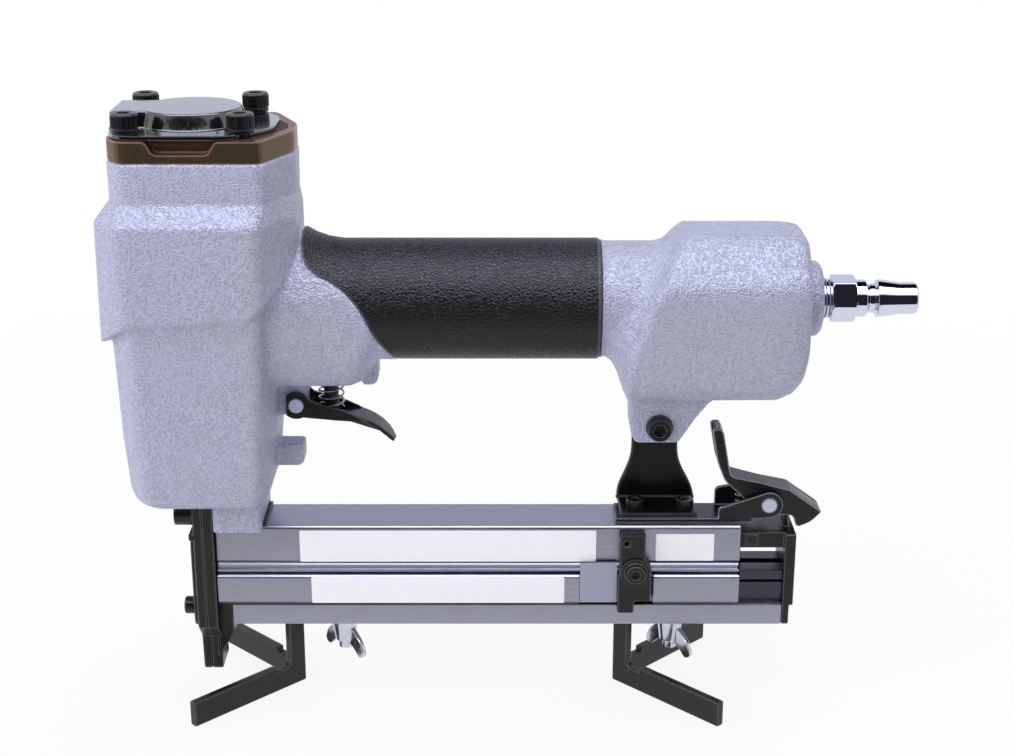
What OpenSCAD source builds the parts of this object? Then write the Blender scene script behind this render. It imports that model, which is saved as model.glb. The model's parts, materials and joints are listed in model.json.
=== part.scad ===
// Pneumatic v-nailer for picture frames, in millimetres.
// +X runs from the nose to the air plug, +Z is up, and the V guides stand on Z = 0.

/* [Frame] */
// Place of the cylinder axis along the tool
axis_x = -101.5; // [-104:0.5:-99]
// Height of the handle axis
handle_z = 142.7; // [138:0.1:147]

/* [Head casting] */
// Height of the head's underside
head_floor = 76; // [74:0.5:78]
// Height of the seat under the cap
head_seat = 193.4; // [190:0.2:198]
// Front of the belt, measured from the axis
belt_front = 30.1; // [28:0.1:32]
// Front of the collar, measured from the axis
collar_front = 24.8; // [24:0.1:26]
// Rear of the collar, measured from the axis
collar_rear = 33.6; // [32:0.1:35]
// Half width of the belt
belt_hw = 31; // [29:0.5:33]
// Half width of the collar above the belt
collar_hw = 26; // [25:0.25:28]
// Half width of the head below the belt
lower_hw = 28; // [26:0.5:30]
// Height of the belt's upper edge
belt_top = 174; // [170:0.5:177]
// Height of the belt's lower edge
belt_bottom = 142; // [138:0.5:148]
// Width of the saddle block that carries the nose
saddle_w = 26; // [24:0.5:30]
// Length of the saddle block
saddle_len = 16.7; // [14:0.1:18.4]

/* [Cap and cover] */
// Thickness of the cap
cap_t = 7.2; // [6:0.1:9]
// Thickness of the gasket in the cap's pocket
gasket_t = 1.8; // [1.2:0.1:3]
// Depth of the notch in the cap's near edge
notch_h = 4.2; // [3.6:0.1:5]
// Thickness of the cap's rim
rim_t = 2.6; // [2:0.1:4]
// Thickness of the cover sheet
cover_t = 1.6; // [1:0.1:2.4]
// Height of the cover's hood
hood_h = 5.2; // [4.5:0.1:7]
// Outer radius of the hood
hood_r = 17.2; // [15:0.1:18]
// Half width of the duct that leads the exhaust to the front
duct_hw = 10.6; // [9:0.1:11.7]
// Pitch of the four cap screws
screw_pitch = 36.4; // [35.6:0.1:38]
// Shank diameter of the cap screws
screw_d = 5; // [4:0.1:5.4]

/* [Cylinder] */
// Bore of the cylinder
bore_d = 32; // [28:0.2:34]
// Wall of the cylinder sleeve
sleeve_wall = 2.2; // [1.6:0.1:2.6]
// Bore of the casting round the sleeve
case_bore_d = 42; // [41:0.2:43]
// Height of the sleeve's upper end
sleeve_top = 179; // [176:0.5:181]
// Height of the piston
piston_h = 14; // [11:0.5:15]
// Travel of the piston
stroke = 55; // [48:0.5:57]
// Height of the chamber floor under the bumper
bumper_floor = 84; // [82:0.5:88]
// Travel of the head valve
valve_lift = 3.2; // [2:0.1:3.4]
// Width of the driver blade
blade_w = 10.2; // [8:0.1:10.6]
// Depth of the blade's V
blade_v = 2.8; // [1.5:0.1:2.9]
// Thickness of the blade along the tool
blade_t = 1.4; // [1:0.1:1.6]

/* [Handle] */
// Outer radius of the rubber grip
grip_r = 20.2; // [19:0.1:21.5]
// Thickness of the rubber grip
grip_wall = 2.9; // [2:0.1:3.5]
// Rear end of the rubber grip
grip_end = 31.2; // [26:0.2:32]
// Front end of the rubber grip, at its top
grip_front = -66.6; // [-67:0.1:-66]
// Radius of the neck behind the grip
neck_r = 19.1; // [18:0.1:20]
// Radius of the air passage through the handle
air_r = 10; // [7:0.5:11]
// Height of the trigger housing's underside
housing_z = 115.7; // [114.5:0.1:117]

/* [Rear chamber] */
// Height of the chamber's flat top
chamber_top = 166.8; // [164:0.1:170]
// Height of the chamber's underside
chamber_floor = 111.9; // [111:0.1:115]
// Half width of the chamber
chamber_hw = 25; // [23:0.25:28]
// Place of the chamber's rear face
chamber_end = 98.4; // [96:0.2:101]
// Radius of the boss round the air inlet
inlet_r = 12.5; // [11:0.1:14]
// Length of the inlet boss
inlet_len = 6; // [4:0.1:7]
// Near face of the lug that carries the strut
lug_near = 9; // [7.5:0.1:10]
// Height of the lug's underside
lug_foot = 94.3; // [92:0.1:95]

/* [Air plug] */
// Width across the plug's hexagon
plug_hex = 14; // [13:0.5:17]
// Length of the hexagon
plug_hex_len = 8.2; // [7:0.1:10]
// Radius of the plug's collars
plug_r = 6.3; // [5.6:0.1:6.6]
// Length of the plug in front of the hexagon
plug_nose = 20.8; // [18:0.1:23]
// Radius of the threaded shank
plug_thread_r = 6.4; // [5:0.1:6.6]
// Bore of the plug
plug_bore_r = 3; // [2:0.1:3.4]

/* [Trigger] */
// Place of the trigger pivot along the tool
pivot_x = -71; // [-71.5:0.1:-70]
// Height of the trigger pivot
pivot_z = 106.6; // [106:0.1:107.4]
// Diameter of the trigger pin
trigger_pin_d = 5; // [4:0.1:5.4]
// Half width of the lug between the trigger's cheeks
trigger_lug_hw = 4.5; // [4.4:0.1:6]
// Sheet thickness of the trigger
trigger_t = 1.3; // [1.1:0.1:2]
// Place of the valve stem along the tool
stem_x = -59.5; // [-61:0.1:-58]
// Radius of the valve stem
stem_r = 2.5; // [2:0.1:2.6]
// Radius of the valve body
valve_r = 7; // [6.4:0.1:7.6]
// Mean radius of the trigger spring
trig_spring_r = 4.2; // [3.6:0.1:4.3]
// Wire thickness of the trigger spring
trig_wire = 0.7; // [0.5:0.05:0.9]

/* [Nose] */
// Place of the joint between the two nose plates
nose_joint = -104.1; // [-104.5:0.1:-103.7]
// Thickness of the front nose plate
front_plate_t = 3.2; // [2.9:0.1:4.2]
// Thickness of the rear nose plate
rear_plate_t = 3.8; // [3.5:0.1:4.6]
// Half width of the nose plates
nose_hw = 12.6; // [12.2:0.1:13]
// Half width of the nose tip
tip_hw = 6.8; // [6.3:0.1:8]
// Height of the nose tip
tip_z = 8; // [6:0.5:9]

/* [Magazine] */
// Height of the magazine's top
mag_top = 64.2; // [63.8:0.1:64.6]
// Half width of the magazine channel
mag_hw = 10; // [9.8:0.1:10.4]
// Half width of the flange at its foot
flange_hw = 11.5; // [11:0.1:12.2]
// Wall of the magazine channel
mag_wall = 1.6; // [1.2:0.1:1.7]
// Height of the channel's lower edge
mag_foot = 35.6; // [35.2:0.1:36.4]
// Rear end of the magazine channel
mag_end = 80.6; // [79:0.1:82]
// Rear end of the sliding drawer
drawer_end = 95.9; // [95:0.1:97]
// Gap between the channel's foot and the drawer
drawer_gap = 0.8; // [0.6:0.05:1]
// Height of the drawer channel
drawer_h = 8; // [7.4:0.1:8.4]
// Thickness of the end plate
end_t = 3.8; // [3:0.1:4.4]
// Half width of the slot under the drawer
slot_hw = 5.3; // [5:0.1:6]
// Height of the nail rail on the drawer
rail_h = 12; // [11.4:0.1:13]
// Mean radius of the pusher spring
push_spring_r = 2.9; // [2.5:0.1:3]

/* [Strut and latch] */
// Thickness of the strut sheet
strut_t = 2.4; // [2:0.1:3]
// Place of the strut's bolt along the tool
lug_bolt_x = 51.5; // [50.5:0.1:52.5]
// Width of the strut's neck
strut_neck = 16; // [14:0.2:18]
// Length of the strut's foot in front of the bolt
strut_front = 12.9; // [11:0.1:13.5]
// Length of the strut's foot behind the bolt
strut_back = 14.5; // [13:0.1:16]
// Thickness of the latch bracket sheet
bracket_t = 1.6; // [1.2:0.1:2]
// Place of the latch pivot along the tool
latch_x = 90.3; // [89.6:0.1:91]
// Height of the latch pivot above the magazine
latch_up = 6.4; // [6.2:0.1:7]
// Diameter of the latch pin
latch_pin_d = 5; // [4:0.1:5.2]
// Half width of the latch lever
latch_hw = 5; // [4.6:0.1:5.6]
// Sheet thickness of the lever
latch_t = 1.6; // [1.2:0.1:1.8]

/* [Guides] */
// Reach of the guide arms to each side
guide_reach = 34.3; // [28:0.1:38]
// Height of the guide arms
guide_h = 9.2; // [8:0.1:10]
// Sheet thickness of the guides
guide_t = 3; // [2.5:0.1:3.2]
// Place of the front guide's apex
front_apex = -71.8; // [-76:0.2:-68]
// Place of the rear guide's apex
rear_apex = 37.8; // [34:0.2:42]
// Thread diameter of the guide studs
stud_d = 5; // [4:0.1:5.4]
// Reach of the wing nut's wings
wing_reach = 10.6; // [9:0.1:11]

/* [Hidden] */
$fn = 48;
clear = 0.3;
run = 0.05;
eps = 0.01;
case_r = case_bore_d / 2;
bore_r = bore_d / 2;
screw_r = screw_d / 2;
washer_t = 1.3;
head_r = 4.25;
head_t = 5;
cap_top = head_seat + cap_t;
cover_top = cap_top + cover_t;
hood_z = cover_top + hood_h;
hood_wall = 1.5;
spigot = 2.5;
valve_t = 5;
valve_stem_r = 8;
piston_top = sleeve_top - 2;
piston_z = piston_top - piston_h;
sleeve_foot = bumper_floor + 16;
land_h = 8;
blade_front = nose_joint - blade_t;
pocket_front = blade_front - clear;
pocket_back = blade_front + blade_v + blade_t + clear;
pocket_hw = blade_w / 2 + clear;
front_face = nose_joint - front_plate_t;
rear_face = nose_joint + rear_plate_t;
saddle_foot = mag_top - 1.4;
hanger_t = 1;
nose_bolt_y = 8.6;
cover_bolt_z = tip_z + 21.6;
cover_sheet = 2;
nose_bolt_z = mag_top + 4.4;
core_r = grip_r - grip_wall;
inlet_end = chamber_end + inlet_len;
hex_start = inlet_end + 3.4;
hex_end = hex_start + plug_hex_len;
plug_end = hex_end + plug_nose;
datum = -(plug_end + axis_x - belt_front) / 2;
pin_r = trigger_pin_d / 2;
cheek_in = trigger_lug_hw + clear;
cheek_out = cheek_in + trigger_t;
web_z = pivot_z - 3.3;
stub_hw = 4.4;
stub_h = 7.5;
stub_z = pivot_z - 22.2;
finger_hw = cheek_out - 1.1;
finger_end = 33.2;
seat_z = housing_z - 2;
rail_hw = mag_hw - mag_wall - clear;
flange_z = 46.3;
drawer_z = mag_foot - drawer_gap - drawer_h;
drawer_top = drawer_z + drawer_h;
drawer_front = -95.5;
rail_top = drawer_top + rail_h;
roof = mag_top - mag_wall;
plate_top = roof - 1.6;
tunnel_hw = push_spring_r + 1.1;
tunnel_z = drawer_top + 1.6;
tunnel_top = rail_top - 2.4;
rod_z = (tunnel_z + tunnel_top) / 2;
rod_r = 1.5;
push_x = -94;
foot_back = push_x + 9;
bracket_top = mag_top + bracket_t;
strut_top = bracket_top + strut_t - 0.4;
strut_y = mag_hw - strut_t;
lug_bolt_z = lug_foot + 5.7;
latch_z = mag_top + latch_up;
ear_in = latch_hw + 0.4;
ear_out = ear_in + bracket_t;
foot_hw = ear_out;
latch_pin_r = latch_pin_d / 2;
tab_half = latch_hw - latch_t - 0.5;
lip_t = 1.6;
tab_t = 2.8;
tab_low = drawer_z + lip_t + 0.1;
tab_hw = mag_hw - 1.6 - clear;
stud_r = stud_d / 2;
stud_gap = 14.5;
rear_gap = 20.2;
nut_top = drawer_z - 1.5;
nut_h = 8.6;
stop_x = 44.3;
stop_z = 48.7;
stop_t = 4;
stop_gap = 0.2;

// Helpers

function unit(v) = v / norm(v);
function bend(a, b, c, t) = (1 - t) * (1 - t) * a + 2 * t * (1 - t) * b + t * t * c;
function corner(p, q, s, r) =
    let (a = q + unit(p - q) * min(r, 0.48 * norm(p - q)))
    let (c = q + unit(s - q) * min(r, 0.48 * norm(s - q)))
    [for (k = [0:3]) bend(a, q, c, k / 3)];
// Points of a polygon whose corners are rounded over a length r, or over one length for each
function rounded(p, r) =
    let (n = len(p))
    [for (i = [0:n - 1])
        each corner(p[(i + n - 1) % n], p[i], p[(i + 1) % n], is_list(r) ? r[i] : r)];

// Skin through rings with equal counts, each ring counter-clockwise seen from its far end
module loft(rings) {
    n = len(rings[0]);
    m = len(rings);
    sides = [for (i = [0:m - 2]) for (j = [0:n - 1]) each [
        [(i + 1) * n + j, i * n + (j + 1) % n, i * n + j],
        [(i + 1) * n + j, (i + 1) * n + (j + 1) % n, i * n + (j + 1) % n]]];
    foot = [for (j = [1:n - 2]) [0, j, j + 1]];
    top = [for (j = [1:n - 2]) [(m - 1) * n, (m - 1) * n + j + 1, (m - 1) * n + j]];
    polyhedron(points = [for (r = rings) each r], faces = concat(sides, foot, top));
}

// Axis of a wire spring that rises along Z with straight ends one wire long
function coil_path(r, h, turns, wire) =
    let (n = round(turns * 8))
    let (helix = [for (k = [0:n])
        [r * cos(k * 360 / 8), r * sin(k * 360 / 8), wire / 2 + (h - wire) * k / n]])
    let (last = n * 360 / 8)
    concat([helix[0] + [0, -wire, 0]], helix,
        [helix[n] + wire * [-sin(last), cos(last), 0]]);
function tangent(p, i) = unit(p[min(i + 1, len(p) - 1)] - p[max(i - 1, 0)]);
function tube_ring(c, t, r) =
    let (u = unit(cross(t, [0, 0, 1])))
    let (v = cross(u, t))
    [for (k = [0:5]) c + r * (cos(60 * k) * u + sin(60 * k) * v)];
function tube(p, r) = [for (i = [0:len(p) - 1]) tube_ring(p[i], tangent(p, i), r)];
// Least gap of a spring to itself, between axis points at least half a turn apart
function coil_gap(p, wire) =
    min([for (i = [0:len(p) - 1]) for (j = [i + 5:1:len(p) - 1]) norm(p[i] - p[j])]) - wire;
module spring(r, h, turns, wire) {
    path = coil_path(r, h, turns, wire);
    echo(spring_gap = coil_gap(path, wire));
    loft(tube(path, wire / 2));
}

// Plate cut from an XZ outline, from y0 to y1
module side_plate(y0, y1) {
    translate([0, y1, 0])
    rotate([90, 0, 0])
    linear_extrude(y1 - y0)
    children();
}
// Plate cut from a YZ outline, from x0 to x1
module cross_plate(x0, x1) {
    translate([x0, 0, 0])
    rotate([90, 0, 90])
    linear_extrude(x1 - x0)
    children();
}
module x_rod(x0, x1, y, z, r) {
    translate([x0, y, z])
    rotate([0, 90, 0])
    cylinder(h = x1 - x0, r = r);
}
module y_rod(y0, y1, x, z, r) {
    translate([x, y1, z])
    rotate([90, 0, 0])
    cylinder(h = y1 - y0, r = r);
}
module z_rod(x, y, z0, z1, r) {
    translate([x, y, z0])
    cylinder(h = z1 - z0, r = r);
}
module block(x0, x1, y0, y1, z0, z1) {
    translate([x0, y0, z0])
    cube([x1 - x0, y1 - y0, z1 - z0]);
}
module at_cap_screws() {
    for (sx = [-1, 1])
        for (sy = [-1, 1])
            translate([axis_x + sx * screw_pitch / 2, sy * screw_pitch / 2, 0])
            children();
}
// Puts the origin under the middle of the whole tool
module place() {
    translate([datum, 0, 0])
    children();
}
module o_ring(z, r, wire) {
    translate([axis_x, 0, z])
    rotate_extrude()
    translate([r, 0])
    circle(r = wire / 2, $fn = 24);
}
module hex_socket(depth, across) {
    cylinder(h = depth, r = across / sqrt(3), $fn = 6);
}

// Casting

// Eight-cornered outline of the head: front, rear, half width and corner cuts
function head_outline(front, rear, hw, fx, fy, rx, ry) = [
    [axis_x - front + fx, -hw], [axis_x + rear - rx, -hw],
    [axis_x + rear, ry - hw], [axis_x + rear, hw - ry],
    [axis_x + rear - rx, hw], [axis_x - front + fx, hw],
    [axis_x - front, hw - fy], [axis_x - front, fy - hw]];
// One ring of the head, whose rear may rise to the handle and whose front then drops
function head_ring(z, rise, outline) =
    [for (p = rounded(outline, 3)) [p.x, p.y, z + rise * (max(0, p.x - axis_x - 16.5)
        + min(0, p.x - axis_x + 20.5))]];
head_rings = [
    head_ring(head_floor, 0, head_outline(20.4, 18.8, lower_hw - 5.5, 5, 6, 2.6, 10)),
    head_ring(head_floor + 2, 0, head_outline(23.4, 21.2, lower_hw - 2.7, 6, 8, 2.6, 12)),
    head_ring(head_floor + 6, 0, head_outline(24.6, 22.4, lower_hw - 1.5, 6.2, 8.5, 2.5, 13)),
    head_ring(head_floor + 24, 0, head_outline(26, 24.2, lower_hw - 0.9, 6.8, 9, 3.7, 14)),
    head_ring(belt_bottom - 2.4, 0.84, head_outline(27, 26.6, lower_hw, 7.4, 9, 4.5, 14)),
    head_ring(belt_bottom, 0.84, head_outline(belt_front, 33.6, belt_hw, 8.5, 9, 10.4, 17)),
    head_ring(belt_top, 0, head_outline(belt_front - 0.4, 33.4, belt_hw, 8.5, 9, 10.2, 17.5)),
    head_ring(belt_top + 6.5, 0,
        head_outline(collar_front, collar_rear - 0.2, collar_hw, 4.9, 7, 8.2, 20)),
    head_ring(head_seat, 0, head_outline(collar_front, collar_rear, collar_hw, 4.9, 7, 8.4, 20))];

// Eight-cornered section of the handle: top, foot, half widths and the ends of its sides
function section(top, foot, hw, wt, z1, z2, wb) = [
    [wb, foot], [hw, z2], [hw, z1], [wt, top], [-wt, top], [-hw, z1], [-hw, z2], [-wb, foot]];
function round_section(r) =
    let (s = r * tan(22.5))
    section(handle_z + r, handle_z - r, r, s, handle_z + s, handle_z - s, s);
// One ring of the handle, which may lean back above its axis
function handle_ring(x, lean, r, outline) =
    [for (p = rounded(outline, r)) [x + lean * max(0, p.y - handle_z + 9.7), p.x, p.y]];
function housing(x, top, foot, hw, wb) =
    handle_ring(x, 0, [2.5, 9, 9, 9, 9, 9, 9, 2.5],
        section(handle_z + top, foot, hw, 9, handle_z + 9, foot + 9, wb));
function chamber(x, lean, inset, lift) =
    handle_ring(x, lean, 4, section(chamber_top - inset, chamber_floor + inset + lift,
        chamber_hw - inset, 12 - inset / 2, chamber_top - 13.6 - inset / 3,
        chamber_floor + 7 + inset + lift, 17.5 - inset));
lean = 0.557;
neck_ring = handle_ring(grip_end + 1.6, lean, 9, round_section(neck_r));
// A ring where the neck swells out to the chamber, by shares of the way along and across
function swell(along, across) =
    let (far = chamber(40.2, lean, 0, 0))
    [for (k = [0:len(far) - 1]) let (step = far[k] - neck_ring[k])
        neck_ring[k] + [step.x * along, step.y * across, step.z * across]];
handle_rings = [
    housing(axis_x + 3, 23, housing_z, 19, 12),
    housing(-76, 28, housing_z, 22, 13),
    housing(-66.5, grip_r + 3.6, housing_z, grip_r + 0.9, 13),
    housing(-60, grip_r + 0.9, housing_z, grip_r + 0.2, 13),
    housing(-52, grip_r, housing_z, grip_r, 12.5),
    housing(-48.5, grip_r, housing_z + 1.2, grip_r, 11.5),
    handle_ring(-43, 0, 9, round_section(grip_r)),
    handle_ring(grip_end + 0.1, 0, 9, round_section(grip_r)),
    handle_ring(grip_end + 0.2, 0, 9, round_section(neck_r)),
    neck_ring,
    swell(0.3, 0.1),
    swell(0.55, 0.36),
    swell(0.78, 0.74),
    chamber(40.2, lean, 0, 0),
    chamber(chamber_end - 9.5, 0, 0, 0.2),
    chamber(chamber_end - 4.4, 0, 0.3, 2.1),
    chamber(chamber_end - 1.3, 0, 1, 5),
    chamber(chamber_end, 0, 2.6, 7.9)];

// Front edge of the rubber grip in side view, an S that runs down and back
grip_edge = concat([for (k = [0:4]) bend([0, 22], [0.2, 14.6], [10.1, 10], k / 4)],
    [for (k = [1:4]) bend([10.1, 10], [16.6, 6.3], [20.1, -0.5], k / 4)],
    [for (k = [1:4]) bend([20.1, -0.5], [24.2, -10.4], [31.8, -20.6], k / 4)]);
module grip_side(gap) {
    x = grip_front - gap;
    polygon(concat([[x, handle_z + 30]], [for (p = grip_edge) [x + p.x, handle_z + p.y]],
        [[x + 31.8, handle_z - 30], [grip_end + gap, handle_z - 30],
        [grip_end + gap, handle_z + 30]]));
}
// Round body of the grip with its flared front, as a revolve about the handle axis
module grip_round(r_in, r_out) {
    translate([0, 0, handle_z])
    rotate([0, 90, 0])
    rotate_extrude()
    polygon([[r_in, grip_front - 0.4], [r_out + 4.4, grip_front - 0.4],
        [r_out + 2.2, grip_front + 3.6], [r_out + 0.8, grip_front + 7.6],
        [r_out, grip_front + 12.6], [r_out, grip_end - 0.8], [r_out - 0.8, grip_end],
        [r_in, grip_end]]);
}

module trigger_lug() {
    side_plate(-trigger_lug_hw, trigger_lug_hw)
    polygon([[pivot_x - 7, housing_z + 3], [pivot_x - 7, pivot_z - 3.8],
        [pivot_x + 2, pivot_z - 3.8], [pivot_x + 3.6, pivot_z - 2],
        [pivot_x + 3.6, housing_z + 3]]);
}
// Short stub on the head, under the trigger
module stub() {
    x = pivot_x + 1.8;
    side_plate(-stub_hw, stub_hw)
    polygon([[x - 12, stub_z], [x - 1.8, stub_z], [x - 0.6, stub_z + 0.6], [x, stub_z + 1.8],
        [x, stub_z + stub_h - 0.4], [x - 0.4, stub_z + stub_h], [x - 12, stub_z + stub_h]]);
}
module hook_lug() {
    side_plate(-5, 5)
    difference() {
        polygon([[-56, housing_z + 0.3], [-52, housing_z - 1.9], [-45, housing_z - 1.9],
            [-43.7, housing_z - 1], [-43.2, housing_z + 0.6], [-43.2, handle_z - 19.6],
            [-42, handle_z - 18.4], [-38, handle_z - 16], [-56, handle_z - 10]]);
        translate([-51, housing_z - 3.2])
        circle(r = 3.4);
    }
}
module strut_lug() {
    side_plate(-lug_near, strut_y)
    polygon(rounded([[41.2, chamber_floor + 8], [42, lug_foot + 3.5], [43.6, lug_foot],
        [57.8, lug_foot], [63.6, lug_foot + 9], [68, lug_foot + 14.5],
        [76, chamber_floor + 2], [76, chamber_floor + 8]], 1.2));
}
module saddle() {
    difference() {
        translate([rear_face, 0, 0])
        linear_extrude(head_floor + 4)
        polygon(rounded([[0, -saddle_w / 2], [saddle_len, -saddle_w / 2],
            [saddle_len, saddle_w / 2], [0, saddle_w / 2]], 1.5));
        block(rear_face - 1, rear_face + 30, -40, 40, -1, saddle_foot);
        block(rear_face - 1, rear_face + 30, -mag_hw - 0.1, mag_hw + 0.1, -1, mag_top + hanger_t);
    }
}

module body_casting() {
    color("#b4b5cc")
    place()
    difference() {
        union() {
            loft(head_rings);
            loft(handle_rings);
            x_rod(chamber_end - 3, inlet_end - 1.5, 0, handle_z, inlet_r);
            translate([inlet_end - 1.5, 0, handle_z])
            rotate([0, 90, 0])
            cylinder(h = 1.5, r1 = inlet_r, r2 = inlet_r - 1.5);
            strut_lug();
            hook_lug();
            trigger_lug();
            saddle();
            stub();
        }
        difference() {
            side_plate(-40, 40) grip_side(0.1);
            x_rod(-70, grip_end + 1, 0, handle_z, core_r - 0.05);
        }
        z_rod(axis_x, 0, bumper_floor, head_seat + 1, case_r);
        at_cap_screws()
        translate([0, 0, head_seat - 22])
        cylinder(h = 23, r = screw_r + run);
        block(pocket_front, pocket_back + 0.6, -pocket_hw - 0.4, pocket_hw + 0.4,
            head_floor - 1, bumper_floor + 1);
        x_rod(axis_x, chamber_end - 20, 0, handle_z, air_r);
        x_rod(58, chamber_end - 12, 0, handle_z, air_r + 7);
        x_rod(chamber_end - 13, inlet_end + 1, 0, handle_z, plug_thread_r + run);
        z_rod(stem_x, 0, housing_z - 5, housing_z + 14, valve_r + run);
        z_rod(stem_x, 0, housing_z + 13, handle_z, 2.4);
        y_rod(-20, 20, pivot_x, pivot_z, pin_r + 0.02);
        y_rod(-30, 30, lug_bolt_x, lug_bolt_z, 2.6);
        for (s = [-1, 1])
            x_rod(rear_face - 1, rear_face + 12, s * nose_bolt_y, nose_bolt_z, 2.5 + run);
    }
}

module rubber_grip() {
    color("#2b2a2c")
    place()
    intersection() {
        grip_round(core_r, grip_r);
        side_plate(-40, 40) grip_side(0);
    }
}

// Cap and cover

function cap_outline(inset) = rounded(
    head_outline(collar_front - 0.2 - inset, collar_rear - 0.2 - inset, collar_hw - 0.4 - inset,
        4.9, 7, 8.8, 20.2), 2.5);

module cylinder_cap() {
    color("#3f3a2b")
    place()
    difference() {
        union() {
            translate([0, 0, head_seat])
            linear_extrude(cap_t)
            polygon(cap_outline(0));
            z_rod(axis_x, 0, head_seat - spigot, head_seat + 1, case_r - run);
        }
        translate([0, 0, cap_top - gasket_t])
        linear_extrude(gasket_t + 1)
        polygon(cap_outline(rim_t));
        side_plate(-collar_hw - 1, -collar_hw + rim_t + 2)
        polygon(rounded([[axis_x - 14, cap_top + 2], [axis_x - 14, cap_top + eps],
            [axis_x - 10.8, cap_top], [axis_x - 8.8, cap_top - notch_h],
            [axis_x + 8.6, cap_top - notch_h], [axis_x + 10.6, cap_top],
            [axis_x + 14, cap_top + eps], [axis_x + 14, cap_top + 2]], 1.7));
        z_rod(axis_x, 0, head_seat - spigot - 1, cap_top, valve_stem_r + run);
        at_cap_screws()
        translate([0, 0, head_seat - 5])
        cylinder(h = 20, r = screw_r + 0.2);
    }
}

module exhaust_gasket() {
    color("#3a1517")
    place()
    translate([0, 0, cap_top - gasket_t])
    linear_extrude(gasket_t)
    difference() {
        polygon(cap_outline(rim_t + 0.1));
        translate([axis_x, 0])
        circle(r = 12);
        at_cap_screws()
        circle(r = screw_r + 0.2);
    }
}

// Section of the duct with drafted sides, drawn in by a wall
module duct_section(wall, foot) {
    w = duct_hw - wall;
    polygon([[-w - 0.8, foot], [w + 0.8, foot], [w - 0.6, hood_z - wall], [0.6 - w, hood_z - wall]]);
}
module exhaust_cover() {
    front = collar_front - 0.6;
    color("#1a1a1c")
    place()
    difference() {
        union() {
            translate([0, 0, cap_top])
            linear_extrude(cover_t)
            polygon(rounded(head_outline(front, 27.5, 24.2, 5, 6, 12, 14), 5));
            translate([axis_x, 0, cap_top])
            cylinder(h = cover_t + hood_h, r1 = hood_r + 0.8, r2 = hood_r - 1.2);
            cross_plate(axis_x - front - 0.3, axis_x) duct_section(0, cap_top);
        }
        translate([axis_x, 0, cap_top - 1])
        cylinder(h = 1 + cover_t + hood_h - hood_wall, r1 = hood_r - 0.8, r2 = hood_r - 2.8);
        cross_plate(axis_x - front - 1, axis_x) duct_section(hood_wall, cap_top + 0.4);
        at_cap_screws()
        translate([0, 0, cap_top - 1])
        cylinder(h = 20, r = screw_r + 0.2);
        at_cap_screws()
        translate([0, 0, cover_top])
        cylinder(h = 20, r = head_r + 0.5);
    }
}

module cap_screws() {
    seat = cover_top + washer_t;
    color("#2e2c2f")
    place()
    at_cap_screws()
    difference() {
        union() {
            translate([0, 0, head_seat - 20])
            cylinder(h = seat - head_seat + 20.5, r = screw_r);
            translate([0, 0, seat])
            cylinder(h = head_t - 0.4, r = head_r);
            translate([0, 0, seat + head_t - 0.4])
            cylinder(h = 0.4, r1 = head_r, r2 = head_r - 0.4);
        }
        translate([0, 0, seat + head_t - 2.6])
        hex_socket(4, 4);
    }
}

module cap_lock_washers() {
    color("#3a393c")
    place()
    at_cap_screws()
    translate([0, 0, cover_top])
    difference() {
        cylinder(h = washer_t, r = head_r - 0.1);
        translate([0, 0, -1])
        cylinder(h = 5, r = screw_r + 0.1);
        translate([0, -0.4, -1])
        cube([8, 0.8, 5]);
    }
}

// Cylinder, piston and head valve

module cylinder_sleeve() {
    land = case_r - run;
    color("#c9cbd0")
    place()
    difference() {
        union() {
            z_rod(axis_x, 0, sleeve_foot, sleeve_top, bore_r + sleeve_wall);
            z_rod(axis_x, 0, sleeve_foot, sleeve_foot + land_h, land);
            z_rod(axis_x, 0, sleeve_top - 1 - land_h, sleeve_top - 1, land);
        }
        z_rod(axis_x, 0, sleeve_foot - 1, sleeve_top + 1, bore_r);
        for (z = [sleeve_foot + land_h / 2, sleeve_top - 1 - land_h / 2])
            translate([axis_x, 0, z - 1.25])
            difference() {
                cylinder(h = 2.5, r = case_r + 1);
                translate([0, 0, -1])
                cylinder(h = 5, r = case_r - 2);
            }
        for (a = [30:60:330])
            translate([axis_x, 0, sleeve_foot + land_h + 5])
            rotate([0, 90, a])
            cylinder(h = case_r, r = 1.8);
    }
}
module sleeve_o_rings() {
    color("#202022")
    place()
    for (z = [sleeve_foot + land_h / 2, sleeve_top - 1 - land_h / 2])
        o_ring(z, case_r - 1.05, 1.8);
}
module piston_bumper() {
    color("#7d3b22")
    place()
    difference() {
        union() {
            z_rod(axis_x, 0, bumper_floor, sleeve_foot, case_r - 0.2);
            z_rod(axis_x, 0, sleeve_foot - 1, piston_z - stroke - 0.5, bore_r - 0.2);
        }
        z_rod(axis_x, 0, bumper_floor - 1, piston_z, 9);
    }
}
module piston() {
    color("#aeb2b8")
    place()
    difference() {
        union() {
            z_rod(axis_x, 0, piston_z, piston_top, bore_r - run);
            z_rod(axis_x, 0, piston_z - 8, piston_z + 1, 8);
        }
        translate([axis_x, 0, piston_top - 6.2])
        difference() {
            cylinder(h = 2.6, r = bore_r + 1);
            translate([0, 0, -1])
            cylinder(h = 5, r = bore_r - 2.3);
        }
        z_rod(axis_x, 0, piston_top - 3.5, piston_top + 1, bore_r - 4);
        translate([0, 0, piston_z - 9])
        linear_extrude(13)
        blade_profile(0.05);
    }
}
module piston_o_ring() {
    color("#202022")
    place()
    o_ring(piston_top - 4.9, bore_r - 1.2, 1.9);
}
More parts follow.
